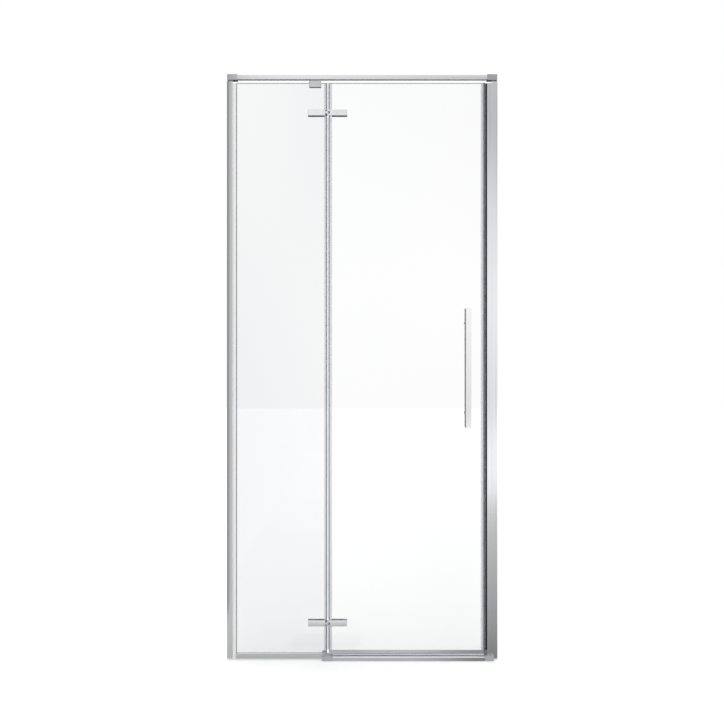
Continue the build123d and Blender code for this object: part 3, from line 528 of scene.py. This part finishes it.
def magnetEdgeSeal():
    look = magnetSeal
    low, high = boxMm("door_magnet_seal")
    paneHigh = boxMm("door_glass")[1]
    inside = paneHigh[1] + look["glassClearMm"]
    half = inside + look["skinMm"]
    near = paneHigh[0] + look["glassClearMm"]
    far = near + look["webMm"]
    lip, box, inner = look["lipRadiusMm"], look["boxRadiusMm"], look["innerRadiusMm"]
    front = [(low[0], -half, lip), (far, -half, inner), (far, low[1], inner), (high[0], low[1], box)]
    behind = [(high[0], high[1], box), (far, high[1], inner), (far, half, inner), (low[0], half, lip)]
    mouth = [(low[0], inside, lip), (near, inside, inner), (near, -inside, inner), (low[0], -inside, lip)]
    outline = roundedOutline(front + behind + mouth)
    piece = straightSweep("door_magnet_edge_seal", outline, [low[2], high[2]], "Z")
    place(piece, "door", "clear_seal", sealPvc, "door_magnet_seal")


# The wiper under the door: a head held in the drip profile and a blade that curves forward and thins
# towards a round tip. Its middle line moves forward with the square of the way down.
wiperShape = {
    "headMm": 5.0,
    "headHeightMm": 2.0,
    "neckHalfMm": 0.75,
    "tipHalfMm": 0.4,
    "steps": 16,
    "tipSteps": 8,
}


def wiperBlade():
    look = wiperShape
    low, high = boxMm("door_wiper")
    headHalf = look["headMm"] / 2
    middle = high[1] - headHalf
    tip = low[1] + look["neckHalfMm"]
    neckZ = high[2] - look["headHeightMm"]
    way = np.linspace(0.0, 1.0, look["steps"])
    y = middle + (tip - middle) * way ** 2
    z = neckZ + (low[2] + look["tipHalfMm"] - neckZ) * way
    half = look["neckHalfMm"] + (look["tipHalfMm"] - look["neckHalfMm"]) * way
    front = np.column_stack([y - half, z])
    behind = np.column_stack([y + half, z])[::-1]
    turn = np.linspace(math.pi, 2 * math.pi, look["tipSteps"])[1:-1]
    end = np.column_stack([y[-1] + half[-1] * np.cos(turn), z[-1] + half[-1] * np.sin(turn)])
    head = np.array([
        (middle + headHalf, neckZ), (middle + headHalf, high[2]),
        (middle - headHalf, high[2]), (middle - headHalf, neckZ)])
    outline = np.concatenate([front, end, behind, head])
    piece = straightSweep("door_bottom_wiper", outline, [low[0], high[0]], "X")
    place(piece, "door", "clear_seal", sealPvc, "door_wiper")


# Painted shade: black inserts fill the gaps between each hinge leaf and the other leaf's knuckles, where
# shade falls.
hingeGapShade = {
    "reachMm": 2.9,
    "knuckleClearMm": 3.9,
    "frontMm": -10.2,
    "backMm": -4.3,
    "endInsetMm": 0.8,
    "roundMm": 0.5,
}


def hingeGapShades():
    look = hingeGapShade
    front, back, radius = look["frontMm"], look["backMm"], look["roundMm"]
    for level in ("lower", "upper"):
        pinLow, pinHigh = boxMm(level + "_hinge_pin")
        axisX = (pinLow[0] + pinHigh[0]) / 2
        leafLow, leafHigh = boxMm(level + "_fixed_hinge_plate")
        heights = [leafLow[2] + look["endInsetMm"], leafHigh[2] - look["endInsetMm"]]
        for body, side in (("frame", -1.0), ("door", 1.0)):
            near = axisX + side * look["knuckleClearMm"]
            far = near + side * look["reachMm"]
            corners = [(near, front, radius), (far, front, radius), (far, back, radius), (near, back, radius)]
            outline = roundedOutline(corners)
            piece = straightSweep(level + "_" + body + "_hinge_gap_shade", outline, heights, "Z")
            place(piece, body, "dark_seal", darkPvc)


# Painted shade: a grey collar around the clamp's neck darkens the gap between the clamp and the head rail,
# where shade falls.
clampShadeCollar = {
    "wallMm": 1.4,
    "clearMm": 0.1,
    "neckHalfMm": (15.0, 6.5),
    "neckHeightMm": 7.6,
    "outerRoundMm": 2.0,
    "innerRoundMm": 0.5,
}


def neckShadeCollar():
    look = clampShadeCollar
    low, high = boxMm("rail_clamp")
    middle = ((low[0] + high[0]) / 2, (low[1] + high[1]) / 2)
    inner = [half + look["clearMm"] for half in look["neckHalfMm"]]
    outer = [half + look["wallMm"] for half in inner]
    heights = (high[2] - look["neckHeightMm"] + look["clearMm"], high[2] - look["clearMm"])
    inner.append(look["innerRoundMm"])
    outer.append(look["outerRoundMm"])
    piece = squareCollar("rail_clamp_shade_collar", inner, outer, middle, heights)
    place(piece, "frame", "grey_gasket", gasketRubber)


edgeSeals()
magnetEdgeSeal()
wiperBlade()
hingeGapShades()
neckShadeCollar()
print("seals, inserts and collar made")


# The studio: a white floor and world, and glowing sheets that only show as reflections in metal and glass:
# painted reflections.
studio = {
    "floorHalf": 12.0,
    "floorHeight": -0.001,
    "floorHex": "#F7F7F7",
    "floorLift": 0.34,
    "floorLiftThroughPane": 0.25,
    "ambient": 0.88,
}


# A flat four-sided sheet from its corners.
def sheet(name, corners):
    mesh = bpy.data.meshes.new(name)
    mesh.from_pydata(corners, [], [(0, 1, 2, 3)])
    thing = bpy.data.objects.new(name, mesh)
    bpy.context.scene.collection.objects.link(thing)
    return thing


# A level sheet between two places along X and two along Y, and an upright one that faces along Y.
def levelSheet(name, x, y, height):
    corners = [(x[0], y[0], height), (x[1], y[0], height), (x[1], y[1], height), (x[0], y[1], height)]
    return sheet(name, corners)


def uprightSheet(name, x, y, z):
    return sheet(name, [(x[0], y, z[0]), (x[1], y, z[0]), (x[1], y, z[1]), (x[0], y, z[1])])


# 1 for what the camera sees straight, in a reflection or through glass, and 0 for light on surfaces.
def seenRays(tree):
    rays = addNode(tree, "ShaderNodeLightPath")
    seen = rays.outputs["Is Camera Ray"]
    for kind in ("Is Glossy Ray", "Is Transmission Ray"):
        either = addNode(tree, "ShaderNodeMath", {"operation": "MAXIMUM"}, {0: seen, 1: rays.outputs[kind]})
        seen = either.outputs[0]
    return seen


# The floor keeps the door's shadow, and is lifted to white a little more where the camera sees it straight.
def whiteFloor():
    half = studio["floorHalf"]
    floor = levelSheet("studio_floor", (-half, half), (-half, half), studio["floorHeight"])
    material, tree = emptyMaterial("white_studio_floor")
    path = addNode(tree, "ShaderNodeLightPath")
    direct = addNode(tree, "ShaderNodeMath", {"operation": "MULTIPLY"}, {
        0: path.outputs["Is Camera Ray"], 1: studio["floorLift"] - studio["floorLiftThroughPane"]})
    shared = addNode(tree, "ShaderNodeMath", {"operation": "MULTIPLY"}, {
        0: seenRays(tree), 1: studio["floorLiftThroughPane"]})
    lift = addNode(tree, "ShaderNodeMath", {"operation": "ADD"}, {0: direct.outputs[0], 1: shared.outputs[0]})
    paint = addNode(tree, "ShaderNodeBsdfDiffuse", inputs={"Color": linearColour(studio["floorHex"])})
    glow = addNode(tree, "ShaderNodeEmission", inputs={"Strength": lift.outputs[0]})
    both = addNode(tree, "ShaderNodeAddShader", inputs={0: paint.outputs[0], 1: glow.outputs[0]})
    addNode(tree, "ShaderNodeOutputMaterial", inputs={"Surface": both.outputs[0]})
    dress(floor, material)


def whiteWorld():
    world = bpy.data.worlds.new("white_studio")
    bpy.context.scene.world = world
    world.use_nodes = True
    tree = world.node_tree
    tree.nodes.clear()
    level = addNode(tree, "ShaderNodeMapRange", inputs={
        "Value": seenRays(tree), "To Min": studio["ambient"], "To Max": 1.0})
    sky = addNode(tree, "ShaderNodeBackground", inputs={
        "Color": linearColour("#FFFFFF"), "Strength": level.outputs["Result"]})
    addNode(tree, "ShaderNodeOutputWorld", inputs={"Surface": sky.outputs[0]})


whiteFloor()
whiteWorld()


# Brightness read along a coordinate, from (place, level) stops joined by straight lines.
def levelsAlong(tree, value, stops):
    first, last = stops[0][0], stops[-1][0]
    placed = addNode(tree, "ShaderNodeMapRange", inputs={"Value": value, "From Min": first, "From Max": last})
    ramp = addNode(tree, "ShaderNodeValToRGB", inputs={"Fac": placed.outputs["Result"]})
    elements = ramp.color_ramp.elements
    elements[0].color = (*[stops[0][1]] * 3, 1.0)
    elements[1].color = (*[stops[-1][1]] * 3, 1.0)
    for place, level in stops[1:-1]:
        elements.new((place - first) / (last - first)).color = (level, level, level, 1.0)
    return ramp.outputs["Color"]


# A sheet that glows only in reflections: a painted reflection. Its brightness runs along one axis, from one
# list of stops at the left to another at the right, or along a single list.
def reflectedSheet(thing, axis, leftStops, rightStops=None, blendX=(-1.0, 1.0)):
    material, tree = emptyMaterial(thing.name)
    place = coordinates(tree)
    left = levelsAlong(tree, place[axis], leftStops)
    right = levelsAlong(tree, place[axis], rightStops or leftStops)
    share = addNode(tree, "ShaderNodeMapRange", {"interpolation_type": "SMOOTHSTEP"}, {
        "Value": place["X"], "From Min": blendX[0], "From Max": blendX[1]})
    mix = addNode(tree, "ShaderNodeMix", {"data_type": "RGBA"}, {
        0: share.outputs["Result"], 6: left, 7: right})
    glow = addNode(tree, "ShaderNodeEmission", inputs={"Color": mix.outputs[2], "Strength": 1.0})
    addNode(tree, "ShaderNodeOutputMaterial", inputs={"Surface": glow.outputs[0]})
    material.cycles.emission_sampling = "NONE"
    dress(thing, material)
    for rayKind in ("camera", "diffuse", "transmission", "volume_scatter", "shadow"):
        setattr(thing, "visible_" + rayKind, False)


# Levels are (place in metres, brightness) pairs: heights on the front wall, depths on the ground.
reflections = {
    "frontDistance": 8.0,
    "frontHalf": 10.0,
    "frontHeight": 9.0,
    "frontLeft": [
        (0.0, 0.80), (0.41, 0.90), (1.96, 1.0), (3.5, 1.0), (4.7, 0.95), (5.2, 0.86), (6.0, 0.80)],
    "frontRight": [
        (0.0, 0.74), (0.41, 0.81), (1.96, 1.0), (3.49, 0.80), (4.7, 0.47), (5.16, 0.56), (5.6, 0.62)],
    "frontBlend": (-0.2, 1.9),
    "groundHalf": 4.0,
    "groundEnd": -0.021,
    "groundAboveFloorMm": 0.5,
    "groundLeft": [(-2.6, 0.80), (-1.0, 0.68), (-0.31, 0.58), (-0.05, 0.52)],
    "groundRight": [(-2.6, 0.68), (-1.1, 0.50), (-0.56, 0.41), (-0.25, 0.33), (-0.05, 0.25)],
    "groundBlend": (0.15, 0.42),
    "wingX": -0.60,
    "wingY": (-7.9, -0.05),
    "wing": [
        (-2.0, 1.0), (-1.1, 0.92), (-0.88, 0.74), (-0.78, 0.62), (-0.58, 0.56), (-0.47, 0.49),
        (-0.43, 0.40), (-0.39, 0.12), (-0.30, 0.03)],
    "hingeGroundX": (-0.25, 0.0),
    "hingeGroundAboveFloorMm": 0.7,
    "hingeGround": [
        (-0.44, 1.0), (-0.36, 0.92), (-0.33, 0.66), (-0.27, 0.44), (-0.22, 0.38), (-0.21, 0.06),
        (-0.10, 0.06)],
    "backHalf": 6.0,
    "backY": (3.0, 8.0),
    "darkLevel": 0.05,
    "flagDistance": 8.0,
    "hingeFlag": {"x": (-0.9, -0.2), "z": (3.02, 3.43)},
    "handleFlag": {"x": (-1.15, -0.68), "z": (0.0, 1.95)},
}


# Painted reflections: glowing sheets that only metal and glass see, standing for the room: a wall behind the
# camera, the ground in front of the door, a wing at the left and a strip of ground that only the lower hinge
# mirrors. Dark sheets
# paint dark reflections: a dark ground behind the panes, and two dark flags on the front faces of the upper
# hinge and the handle.
def reflectedRoom():
    look = reflections
    half, top, floor = look["frontHalf"], look["frontHeight"], studio["floorHeight"]
    wall = uprightSheet("reflected_front_wall", (-half, half), -look["frontDistance"], (0.0, top))
    reflectedSheet(wall, "Z", look["frontLeft"], look["frontRight"], look["frontBlend"])

    wide, stops = look["groundHalf"], look["groundLeft"]
    height = floor + look["groundAboveFloorMm"] * mm
    ground = levelSheet("reflected_ground", (-wide, wide), (stops[0][0], look["groundEnd"]), height)
    reflectedSheet(ground, "Y", stops, look["groundRight"], look["groundBlend"])

    x, (away, near) = look["wingX"], look["wingY"]
    wing = sheet("reflected_left_wing", [(x, away, 0.0), (x, near, 0.0), (x, near, top), (x, away, top)])
    reflectedSheet(wing, "Y", look["wing"])

    dark = [(0.0, look["darkLevel"]), (1.0, look["darkLevel"])]
    wide = look["backHalf"]
    behind = levelSheet("reflected_dark_ground", (-wide, wide), look["backY"], height)
    reflectedSheet(behind, "Y", dark)

    stops = look["hingeGround"]
    height = floor + look["hingeGroundAboveFloorMm"] * mm
    y = (stops[0][0], stops[-1][0])
    underHinge = levelSheet("reflected_hinge_ground", look["hingeGroundX"], y, height)
    reflectedSheet(underHinge, "Y", stops)

    for name in ("hingeFlag", "handleFlag"):
        flag = uprightSheet("reflected_" + name, look[name]["x"], look["flagDistance"], look[name]["z"])
        reflectedSheet(flag, "Y", dark)


reflectedRoom()
print("studio ready")

# The camera stands in the room, level, 2.2 m in front of the threshold.
view = {
    "position": (-0.0007, -2.22, 0.9911),
    "lens": 33.03,
    "sensor": 36.0,
}
cameraData = bpy.data.cameras.new("front_camera")
cameraData.lens = view["lens"]
cameraData.sensor_width = view["sensor"]
camera = bpy.data.objects.new("front_camera", cameraData)
bpy.context.scene.collection.objects.link(camera)
camera.location = view["position"]
camera.rotation_euler = (math.pi / 2, 0, 0)
bpy.context.scene.camera = camera

bpy.context.scene.view_settings.view_transform = "Standard"
print("scene ready")
